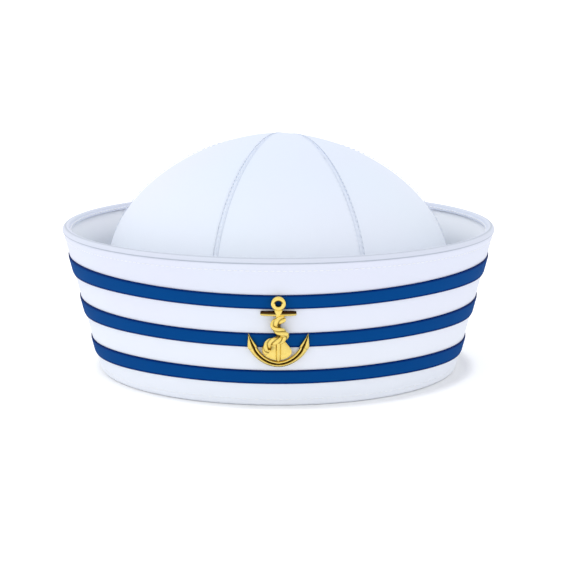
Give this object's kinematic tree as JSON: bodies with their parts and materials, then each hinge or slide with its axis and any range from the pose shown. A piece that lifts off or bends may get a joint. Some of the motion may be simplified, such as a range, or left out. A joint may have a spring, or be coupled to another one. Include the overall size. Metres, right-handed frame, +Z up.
{
  "type": "sailor cap",
  "caption": "White sailor cap: gored domed crown inside a tall turned-up flaring band with blue ribbon stripes and a gold anchor badge at the front.",
  "frame": {"origin": "on the surface the cap rests on, at the centre of its oval", "axes": "+Z up, -Y towards the front, where the badge is, +X to the right as seen from the front"},
  "size_m": [0.2226, 0.2446, 0.1209],
  "materials": {
    "crown_cloth": "plain woven white cotton blend, faintly blue, matt",
    "band_cloth": "plain woven white cotton blend, stiffened, matt, with rows of white stitching",
    "blue_ribbon": "flat woven royal blue ribbon with darker edges, low sheen",
    "gold_metal": "polished gold-coloured cast metal"
  },
  "bodies": {
    "root": {"crown_gore_front": "crown_cloth", "crown_gore_front_right": "crown_cloth", "crown_gore_back_right": "crown_cloth", "crown_gore_back": "crown_cloth", "crown_gore_back_left": "crown_cloth", "crown_gore_front_left": "crown_cloth", "cuff_outer": "band_cloth", "cuff_facing": "band_cloth", "stripe_upper": "blue_ribbon", "stripe_middle": "blue_ribbon", "stripe_lower": "blue_ribbon", "anchor_badge": "gold_metal", "badge_clutch": "gold_metal"}
  },
  "joints": []
}
